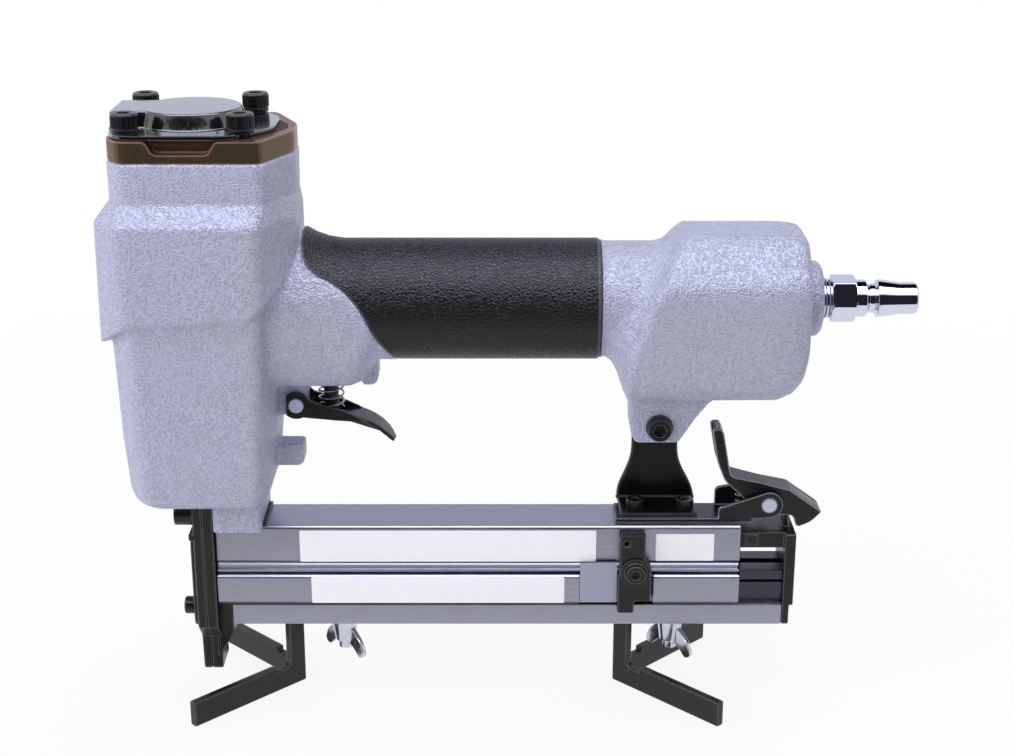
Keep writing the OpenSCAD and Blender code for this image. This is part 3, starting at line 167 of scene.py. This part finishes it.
def machined(node, material, edge):
    """A node with its sharp edges broken, as a file, a mould or a tumbler leaves them.

    A corner that the breaking throws off the surface is set back on it.
    """
    work = merged_copy(node)
    bmesh.ops.dissolve_limit(work, angle_limit=FLAT, verts=work.verts, edges=work.edges)
    surface = BVHTree.FromBMesh(work)
    sharp = [e for e in work.edges if e.is_manifold and e.calc_face_angle(0) > SHARP]
    # The faces that the breaking makes are marked, so that a material can paint a highlight colour
    # on them.
    painted_rim_highlight = work.faces.layers.float.new("painted_rim_highlight")
    broken = bmesh.ops.bevel(work, geom=sharp, offset=edge * MM, offset_type="OFFSET",
        affect="EDGES", segments=2, profile=0.5, clamp_overlap=False, material=-1)
    for face in broken["faces"]:
        face[painted_rim_highlight] = 1
    for corner in work.verts:
        nearest, _, _, stray = surface.find_nearest(corner.co)
        if stray > STRAY * edge * MM:
            corner.co = nearest
    for face in work.faces:
        face.smooth = True
    for line in work.edges:
        line.smooth = line.calc_face_angle(0) < CREASE
    piece = put(work, node + "_finished", node, material, [node])
    piece.modifiers.new("even_normals", "WEIGHTED_NORMAL").keep_sharp = True


def edged(material, tone, edge):
    """The tone, with the edge's colour painted on as a highlight where machined() broke an edge."""
    painted_rim_highlight = add(material, "Attribute", attribute_name="painted_rim_highlight")
    return add(material, "Mix", {0: painted_rim_highlight.outputs["Fac"], 6: tone, 7: linear(edge)},
        data_type="RGBA").outputs[2]


grip_rubber = new_material("moulded_nitrile_rubber")
# Wandering wrinkles about 1 mm apart, whose smoother crests shine more than the furrows. The
# furrows are also painted a shade darker, as painted shade.
WRINKLES = 1.2
place = add(grip_rubber, "TexCoord").outputs["Object"]
wander = add(grip_rubber, "TexNoise", {"Vector": place, "Scale": 1 / (WRINKLES * MM), "Detail": 2})
bent = add(grip_rubber, "VectorMath", {0: wander.outputs["Color"], 1: (1.1 * MM,) * 3},
    operation="MULTIPLY")
warped = add(grip_rubber, "VectorMath", {0: place, 1: bent.outputs[0]}, operation="ADD")
cells = add(grip_rubber, "TexVoronoi", {"Vector": warped.outputs[0],
    "Scale": 1 / (WRINKLES * MM)}, feature="DISTANCE_TO_EDGE")
furrow = add(grip_rubber, "ValToRGB", {"Fac": cells.outputs["Distance"]})
furrow.color_ramp.elements[1].position = 0.3
crest = add(grip_rubber, "MapRange", {"Value": furrow.outputs["Color"], "To Min": 0.5,
    "To Max": 0.32})
skin = add(grip_rubber, "ValToRGB", {"Fac": furrow.outputs["Color"]})
skin.color_ramp.elements[0].color = linear("#0b0a0b")
skin.color_ramp.elements[1].color = linear("#121112")
grip_bump = add(grip_rubber, "Bump", {"Height": furrow.outputs["Color"], "Strength": 0.8,
    "Distance": 0.16 * MM})
# The broken rims are painted a paler grey, as a painted highlight.
finish_shader(grip_rubber, {"Base Color": edged(grip_rubber, skin.outputs["Color"], "#4c4a50"),
    "Roughness": crest.outputs[0], "Specular IOR Level": 0.4,
    "Normal": grip_bump.outputs["Normal"]})
machined("rubber_grip", grip_rubber, 0.6)

# Cylinder cap: a cast lid in brown stoving enamel that closes the head over the main valve. Four
# screws hold it down, together with the gasket and the cover.
DULL, KEEN = 0.3, 0.7


def speckled(name, low, high, grain, depth, rough, edge=None, **constants):
    """A material whose tone, gloss and relief drift between two values over grains in mm.

    DULL and KEEN are the noise values between which the drift takes place.
    """
    material = new_material(name)
    place = add(material, "TexCoord").outputs["Object"]
    speck = add(material, "TexNoise", {"Vector": place, "Scale": 1 / (grain * MM),
        "Detail": 3}).outputs["Fac"]
    tone = add(material, "ValToRGB", {"Fac": speck})
    tone.color_ramp.elements[0].position = DULL
    tone.color_ramp.elements[0].color = linear(low)
    tone.color_ramp.elements[1].position = KEEN
    tone.color_ramp.elements[1].color = linear(high)
    gloss = add(material, "MapRange", {"Value": speck, "From Min": DULL, "From Max": KEEN,
        "To Min": rough[0], "To Max": rough[1]})
    relief = add(material, "Bump", {"Height": speck, "Strength": 1, "Distance": depth * MM})
    colour = tone.outputs["Color"]
    # An edge colour, where given, is a painted highlight on the broken edges.
    return finish_shader(material, {
        "Base Color": edged(material, colour, edge) if edge else colour,
        "Roughness": gloss.outputs[0], "Normal": relief.outputs["Normal"],
        **{socket.replace("_", " "): value for socket, value in constants.items()}})


# A bronze-brown coat that is near black where it faces the dark and glints pink on its rims, where
# a pink painted highlight is also laid on the broken edges.
brown_enamel = speckled("brown_stoving_enamel", "#4b412c", "#4d432e", 4, 0.002, (0.26, 0.34),
    "#8d6c61", Metallic=0.4, Specular_IOR_Level=0.8, Specular_Tint=(1, 0.72, 0.68, 1))
machined("cylinder_cap", brown_enamel, 0.5)

# Exhaust gasket: a dark red sheet of pressed fibre, cut to lie in the cap's pocket. The cover is
# screwed down on it, so only its edge shows.
# Short fibres make a mottled dull red.
gasket_fibre = speckled("pressed_red_gasket_fibre", "#2a0b0d", "#431515", 0.8, 0.05, (0.65, 0.8))
machined("exhaust_gasket", gasket_fibre, 0.2)

# Exhaust cover: pressed from sheet steel, with a low hood that is open to the front, and enamelled
# in gloss black. The cap's screws hold it too.
# A poured, mirror-like coat with hardly any peel, with a grey painted highlight on its broken
# edges.
black_gloss = speckled("gloss_black_enamel", "#0a0a0c", "#0f0f12", 6, 0.002, (0.16, 0.2),
    "#37373d", Specular_IOR_Level=0.7, Coat_Weight=0.8, Coat_Roughness=0.1, Coat_IOR=1.7)
machined("exhaust_cover", black_gloss, 0.45)

# Support strut: sheet steel, cut and folded to tie the chamber's lug to the magazine. A bolt holds
# it at the lug, and screws hold it below.
# A thin black lacquer, duller than the cover's coat, with a paler painted highlight along the
# broken folds.
black_lacquer = speckled("satin_black_lacquer", "#0c0c0d", "#121213", 3, 0.002, (0.3, 0.38),
    "#39393c", Specular_IOR_Level=0.25)
machined("support_strut", black_lacquer, 0.7)

# Black hardware: nose plates, trigger, stop, guides and screws are steel, blackened in a hot salt
# bath and oiled.
# The oil leaves cloudy patches on a near-black coat whose broken edges catch the light and carry a
# grey painted highlight.
black_oxide = speckled("black_oxide_on_steel", "#111012", "#19181a", 4, 0.002, (0.24, 0.34),
    "#434145", Specular_IOR_Level=0.32)
for node, edge in {
        "cap_screws": 0.3, "cap_lock_washers": 0.15, "nose_front_plate": 0.5,
        "nose_rear_plate": 0.5, "nose_screws": 0.3, "nose_cover": 0.5, "nose_cover_screw": 0.25,
        "magazine_hanger": 0.3, "end_plate": 0.4, "end_plate_screws": 0.15, "strut_bolt": 0.3,
        "strut_nut": 0.25, "strut_screws": 0.25, "stop_plate": 0.5, "stop_screw": 0.3,
        "trigger": 0.35, "front_guide": 0.6, "rear_guide": 0.6}.items():
    machined(node, black_oxide, edge)

# Latch: a bracket and a thumb lever, pressed from sheet, tumbled and blackened as the other
# hardware, with a riveted pin as their hinge.
# The rims carry a bright painted highlight.
painted_rim_oxide = speckled("black_oxide_on_steel_with_painted_rims", "#111012", "#19181a", 4, 0.002, (0.24, 0.34),
    "#7d7b84", Specular_IOR_Level=0.32)
for node, edge in {"latch_bracket": 0.35, "latch_lever": 0.45}.items():
    machined(node, painted_rim_oxide, edge)

# Cap screw knurl: the straight teeth that are rolled into the rim of each socket head, so that
# fingers can start the screw.
# SHIFT moves a place along the drawn tool to the frame, whose origin is under the tool's middle.
SHIFT = -2.6
HEAD_AXIS, SCREW_REACH = -101.5 + SHIFT, 18.2
KNURL_FOOT, KNURL_HEIGHT, KNURL_RADIUS = 204, 3.6, 4.22
TEETH, TOOTH = 36, 1.04
screws = bmesh.new()
for x in (-1, 1):
    for y in (-1, 1):
        axis = Vector((HEAD_AXIS + SCREW_REACH * x, SCREW_REACH * y, KNURL_FOOT)) * MM
        rim = bmesh.ops.create_circle(screws, cap_ends=True, segments=2 * TEETH,
            radius=KNURL_RADIUS * MM, matrix=Matrix.Translation(axis))["verts"]
        for corner in rim[::2]:
            corner.co = axis + (corner.co - axis) * TOOTH
        top = bmesh.ops.extrude_face_region(screws, geom=list({f for v in rim
            for f in v.link_faces}))["geom"]
        bmesh.ops.translate(screws, verts=[v for v in top if isinstance(v, bmesh.types.BMVert)],
            vec=(0, 0, KNURL_HEIGHT * MM))
bmesh.ops.recalc_face_normals(screws, faces=screws.faces)
put(screws, "cap_screw_knurls", "cap_screws", black_oxide)

# Magazine: a fixed upper rail and a sliding lower drawer, extruded in aluminium and brushed
# along their length.
brushed_metal = new_material("brushed_aluminium_extrusion")
# Long scratches along X, a quarter of a millimetre apart, stretch the highlights.
SCRATCHES = 0.25
place = add(brushed_metal, "TexCoord").outputs["Object"]
along = add(brushed_metal, "Mapping", {"Vector": place, "Scale": (0.02, 1, 1)})
scratch = add(brushed_metal, "TexNoise", {"Vector": along.outputs[0],
    "Scale": 1 / (SCRATCHES * MM), "Detail": 3}).outputs["Fac"]
scuff = add(brushed_metal, "MapRange", {"Value": scratch, "From Min": DULL, "From Max": KEEN,
    "To Min": 0.3, "To Max": 0.48})
metal_tone = add(brushed_metal, "ValToRGB", {"Fac": scratch})
metal_tone.color_ramp.elements[0].position = 0.25
metal_tone.color_ramp.elements[0].color = linear("#8e8e9c")
metal_tone.color_ramp.elements[1].position = 0.75
metal_tone.color_ramp.elements[1].color = linear("#acacba")
scratch_bump = add(brushed_metal, "Bump", {"Height": scratch, "Strength": 0.1,
    "Distance": 0.05 * MM})
finish_shader(brushed_metal, {"Base Color": metal_tone.outputs["Color"], "Metallic": 1,
    "Roughness": scuff.outputs[0], "Normal": scratch_bump.outputs["Normal"]})
for node in ("magazine_channel", "drawer_channel"):
    machined(node, brushed_metal, 0.7)

# Labels: three blank white stickers and a grey one, cut from thin vinyl film with round corners and
# stuck on the magazine's near side.
# Smooth film with a faint unevenness of the glue under it.
white_vinyl = speckled("white_vinyl_label", "#fbfafd", "#fdfcff", 1, 0.0004, (0.35, 0.4))
grey_vinyl = speckled("grey_vinyl_label", "#9d9fb4", "#a0a2b7", 1, 0.0004, (0.35, 0.4))
FILM, CORNER = 0.16, 0.4
for name, film, (left, right), (bottom, top), side in (
        ("upper_label", white_vinyl, (-71.1, 30.8), (51.0, 62.6), 10.0),
        ("lower_label", white_vinyl, (-67.4, 20.0), (36.0, 46.0), 11.5),
        ("end_label", white_vinyl, (51.4, 71.4), (51.3, 61.3), 10.0),
        ("grey_label", grey_vinyl, (25.4, 38.1), (36.2, 51.2), 11.5)):
    sticker = bmesh.new()
    size = (right - left, FILM, top - bottom)
    centre = ((left + right) / 2 + SHIFT, -side - FILM / 2, (bottom + top) / 2)
    bmesh.ops.create_cube(sticker, size=1, matrix=Matrix.Translation(Vector(centre) * MM)
        @ Matrix.Diagonal(Vector(size) * MM).to_4x4())
    bmesh.ops.bevel(sticker, geom=[e for e in sticker.edges
        if abs(e.verts[0].co.y - e.verts[1].co.y) > FILM * MM / 2], offset=CORNER * MM,
        offset_type="OFFSET", affect="EDGES", segments=3, profile=0.5, material=-1)
    put(sticker, name, "magazine_channel", film)

# Nail rail and driver: tool steel, hardened and ground. The rail guides the fasteners to the nose,
# and the blade strikes them.
# A dull grey sheen from fine grinding.
tool_steel = speckled("ground_tool_steel", "#3f3e45", "#4e4d56", 0.5, 0.01, (0.3, 0.42), Metallic=1)
for node in ("nail_rail", "driver_blade"):
    machined(node, tool_steel, 0.2)

# Engine inside the head: a sleeve and a piston, turned from aluminium, with moulded rubber seals. A
# cast buffer takes up the end of the piston's stroke.
# Bright turned metal, black rubber with a bloom, and a brown buffer.
turned_metal = speckled("turned_aluminium", "#a7a9b2", "#bbbdc5", 0.4, 0.01, (0.22, 0.34),
    Metallic=1)
seal_rubber = speckled("nitrile_seal_rubber", "#141415", "#1e1e20", 0.7, 0.01, (0.5, 0.65))
buffer_rubber = speckled("cast_polyurethane_buffer", "#4a3321", "#5a4029", 2, 0.02, (0.4, 0.55))
for node in ("cylinder_sleeve", "piston"):
    machined(node, turned_metal, 0.2)
for node in ("sleeve_o_rings", "piston_o_ring", "head_valve_o_ring", "valve_o_rings"):
    machined(node, seal_rubber, 0.05)
machined("piston_bumper", buffer_rubber, 0.3)

# Valves: a white moulded head valve that opens the sleeve, and a black pilot valve, seated over the
# trigger, whose stem the trigger pushes.
# Waxy, slightly uneven engineering plastic.
white_acetal = speckled("white_acetal", "#d6d4cc", "#e0ded7", 2, 0.01, (0.35, 0.45))
black_acetal = speckled("black_acetal", "#18181a", "#222225", 2, 0.01, (0.35, 0.45))
machined("head_valve", white_acetal, 0.2)
for node in ("trigger_valve_body", "trigger_valve_stem"):
    machined(node, black_acetal, 0.15)

# Pusher: a brass slide on a steel rod. A long spring round the rod drives it, and it feeds the
# fasteners to the nose.
# Warm cast brass with a light tarnish.
brass = speckled("cast_brass", "#a07d3c", "#b8954f", 1.5, 0.02, (0.3, 0.45), Metallic=1)
machined("nail_pusher", brass, 0.2)

# Springs: cold-wound wire that the tool squeezes as its joint moves, drawn here as fixed coils at
# rest. One each returns the trigger, the head valve and the latch, and a long one drives the
# pusher.
# Bright drawn wire with a thin oil film.
spring_wire = speckled("drawn_spring_wire", "#9a9ca4", "#b2b4bc", 0.6, 0.002, (0.25, 0.38),
    Metallic=1)
machined("pusher_rod", spring_wire, 0.15)
STEPS, WIRE_SIDES = 24, 8
for node, joint, axis, fixed, travel, radius, turns, wire in (
        ("trigger_spring", "trigger_pull", 2, 113.6, 2.4, 4.2, 3.5, 0.7),
        ("head_valve_spring", "head_valve_lift", 2, 190.9, 3.2, 12, 3, 1),
        ("latch_spring", "latch_swing", 2, 65.9, 3.2, 2.2, 4.5, 0.8),
        ("pusher_spring", "pusher_feed", 0, 95.7 + SHIFT, 150, 2.9, 30, 0.7)):
    corners = [v.co for v in frame["nodes"][node].data.vertices]
    first = Vector([min(c[i] for c in corners) for i in range(3)])
    last = Vector([max(c[i] for c in corners) for i in range(3)])
    height = last[axis] - first[axis]
    coil = bmesh.new()
    bmesh.ops.create_circle(coil, segments=WIRE_SIDES, radius=wire / 2 * MM,
        matrix=Matrix.Translation((radius * MM, 0, wire / 2 * MM))
        @ Matrix.Rotation(math.pi / 2, 4, "X"))
    steps = round(turns * STEPS)
    bmesh.ops.spin(coil, geom=coil.verts[:] + coil.edges[:], cent=(0, 0, 0), axis=(0, 0, 1),
        dvec=(0, 0, (height - wire * MM) / steps), angle=2 * math.pi * turns, steps=steps)
    bmesh.ops.holes_fill(coil, edges=coil.edges, sides=WIRE_SIDES)
    bmesh.ops.recalc_face_normals(coil, faces=coil.faces)
    foot = (first + last) / 2
    foot[axis] = first[axis]
    lay = Matrix.Identity(4) if axis == 2 else Matrix.Rotation(math.pi / 2, 4, "Y")
    bmesh.ops.transform(coil, matrix=Matrix.Translation(foot) @ lay, verts=coil.verts)
    for face in coil.faces:
        face.smooth = len(face.verts) == 4
    piece = put(coil, node + "_wire", node, spring_wire, [node])
    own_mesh(piece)

# Guide clamps: the plated steel studs, washers and wing nuts that hold the two guides under the
# drawer, where they are set by hand.
# A thin bright zinc plating with a faint cloudiness.
bright_zinc = speckled("bright_zinc_on_steel", "#bfc2ce", "#d2d5e0", 2, 0.01, (0.12, 0.24),
    Metallic=1)
for end in ("front", "rear"):
    for kind, edge in {"_stud": 0.2, "_washer": 0.2, "_wing_nut": 0.4}.items():
        machined(end + kind, bright_zinc, edge)

# Pivot pins: short steel pins, turned and nickel plated, which go through the trigger's and the
# latch's ears.
# A pale satin nickel that stays bright whatever it faces.
satin_nickel = speckled("satin_nickel_plate", "#bcc0d6", "#c8cce2", 1, 0.004, (0.4, 0.5),
    Metallic=0.2)
for node in ("trigger_pin", "latch_pin"):
    machined(node, satin_nickel, 0.3)

# Air plug: turned from steel bar with a hexagon and a pipe thread, then polished and chromed. It is
# screwed into the chamber's end.
chrome = new_material("polished_chrome_plate")
# Mirror bright, with the turning's fine rings round the axis.
RINGS = 4
place = add(chrome, "TexCoord").outputs["Object"]
rings = add(chrome, "TexWave", {"Vector": place, "Scale": 1 / (RINGS * MM)}, bands_direction="X")
turned = add(chrome, "MapRange", {"Value": rings.outputs["Fac"], "To Min": 0.03, "To Max": 0.07})
finish_shader(chrome, {"Base Color": linear("#d0d4e4"), "Metallic": 1,
    "Roughness": turned.outputs[0]})
machined("air_plug", chrome, 0.25)
THREAD_START, PLUG_AXIS = 104.4 + SHIFT, 142.7
PITCH, ROOT, CREST = 1.13, 6.3, 6.8
thread = bmesh.new()
for ridge in range(3):
    for flank, (start, end) in enumerate(((ROOT, CREST), (CREST, ROOT))):
        middle = Vector((THREAD_START + PITCH * (ridge + flank / 2 + 0.25), 0, PLUG_AXIS)) * MM
        bmesh.ops.create_cone(thread, cap_ends=False, segments=48, depth=PITCH / 2 * MM,
            radius1=start * MM, radius2=end * MM,
            matrix=Matrix.Translation(middle) @ Matrix.Rotation(math.pi / 2, 4, "Y"))
bmesh.ops.remove_doubles(thread, verts=thread.verts, dist=WELD * MM)
bmesh.ops.recalc_face_normals(thread, faces=thread.faces)
put(thread, "plug_thread", "air_plug", chrome)

# Studio: a white floor that fades into a white surround, cards that only reflections show, soft
# lamps, and the camera, looking down at the tool.
scene = bpy.context.scene
scene.view_settings.view_transform = "Standard"
world = bpy.data.worlds.new("studio")
scene.world = world
world.use_nodes = True
world.node_tree.nodes.clear()


def seen(tree):
    """1 for rays that show the surround as such: to the camera, in metal and through glass."""
    path = add(tree, "LightPath").outputs
    straight = add(tree, "Math", {0: path["Is Camera Ray"], 1: path["Is Glossy Ray"]},
        operation="MAXIMUM")
    return add(tree, "Math", {0: straight.outputs[0], 1: path["Is Transmission Ray"]},
        operation="MAXIMUM").outputs[0]


haze = add(world, "MapRange", {"Value": seen(world), "To Min": 0.4, "To Max": 1})
surround = add(world, "Background", {"Color": (1, 1, 1, 1), "Strength": haze.outputs[0]})
add(world, "OutputWorld", {"Surface": surround.outputs[0]})


def staged(name, half_side, material, matrix):
    """A flat square of the studio, which is no part of the tool."""
    work = bmesh.new()
    bmesh.ops.create_grid(work, x_segments=1, y_segments=1, size=half_side, matrix=matrix)
    mesh = bpy.data.meshes.new(name)
    work.to_mesh(mesh)
    work.free()
    sheet = bpy.data.objects.new(name, mesh)
    scene.collection.objects.link(sheet)
    mesh.materials.append(material)
    return sheet


floor_paint = new_material("white_studio_floor")
# Matt white card that turns to plain white away from the tool and keeps a faint shadow by it.
place = add(floor_paint, "TexCoord").outputs["Object"]
reach = add(floor_paint, "VectorMath", {0: place}, operation="LENGTH").outputs["Value"]
fade = add(floor_paint, "MapRange", {"Value": reach, "From Min": 0.25, "From Max": 0.6,
    "To Min": 0.88, "To Max": 1})
share = add(floor_paint, "Math", {0: fade.outputs[0], 1: seen(floor_paint)}, operation="MULTIPLY")
matt = add(floor_paint, "BsdfDiffuse", {"Color": (0.93, 0.93, 0.94, 1)})
white = add(floor_paint, "Emission", {"Color": (1, 1, 1, 1), "Strength": 1})
mixed = add(floor_paint, "MixShader", {0: share.outputs[0], 1: matt.outputs[0],
    2: white.outputs[0]})
add(floor_paint, "OutputMaterial", {"Surface": mixed.outputs[0]})
staged("floor", half_side=5, material=floor_paint, matrix=Matrix.Identity(4))

# The cards glow evenly: black in front of the tool, white over it, then black, then pale blue
# behind it. They stripe the shiny parts as soft boxes on stands would. Each spans the angles
# given, up from the front's horizon, as seen from the tool's middle.
TOOL_MIDDLE = Matrix.Translation((0, 0, 0.14))
for name, tint, strength, (start, end), far, width in (
        ("front_card", "#29282e", 1, (-30, 37), 0.25, 1.2),
        ("over_card", "#eceeff", 6, (46, 92), 1, 2.4),
        ("gap_card", "#101012", 1, (92, 136), 1, 2.4),
        ("back_card", "#dce0f2", 1.1, (136, 175), 1, 2.4)):
    paint = new_material(name + "_glow")
    glow = add(paint, "Emission", {"Color": linear(tint), "Strength": strength})
    add(paint, "OutputMaterial", {"Surface": glow.outputs[0]})
    turn, half = math.radians(start + end) / 2, math.radians(end - start) / 2
    card = staged(name, 0.5, paint, TOOL_MIDDLE @ Matrix.Rotation(math.pi / 2 - turn, 4, "X")
        @ Matrix.Translation((0, 0, far))
        @ Matrix.Diagonal((width, 2 * far * math.tan(half), 1, 1)))
    card.visible_camera = card.visible_diffuse = card.visible_shadow = False


def lamp(name, place, target, size, power, tint):
    """A soft box that looks at a point of the tool."""
    light = bpy.data.lights.new(name, "AREA")
    light.shape = "RECTANGLE"
    light.size, light.size_y = size
    light.energy = power
    light.color = tint
    box = bpy.data.objects.new(name, light)
    scene.collection.objects.link(box)
    box.location = place
    box.rotation_mode = "QUATERNION"
    box.rotation_quaternion = (Vector(target) - Vector(place)).to_track_quat("-Z", "Y")
    box.visible_glossy = False


lamp("top_softbox", (0.05, -0.05, 1.0), (0, 0, 0.1), (0.9, 0.45), 4, (0.86, 0.91, 1))
lamp("key_softbox", (-0.7, -0.85, 0.5), (-0.06, 0, 0.1), (0.8, 0.5), 3.9, (1, 0.98, 0.95))
lamp("left_softbox", (-1.0, -0.25, 0.5), (0, 0, 0.1), (0.5, 0.5), 3.2, (0.86, 0.91, 1))
lamp("back_softbox", (0.5, 0.8, 0.9), (0, 0, 0.1), (0.7, 0.6), 3, (1, 1, 1))

# The camera faces the tool's near side and looks down by 19 degrees.
camera = bpy.data.objects.new("camera", bpy.data.cameras.new("camera"))
scene.collection.objects.link(camera)
camera.data.sensor_width = 36
camera.data.lens = 63.97
camera.location = (-0.0026, -0.57693, 0.31315)
camera.rotation_euler = (math.radians(71), 0, 0)
scene.camera = camera
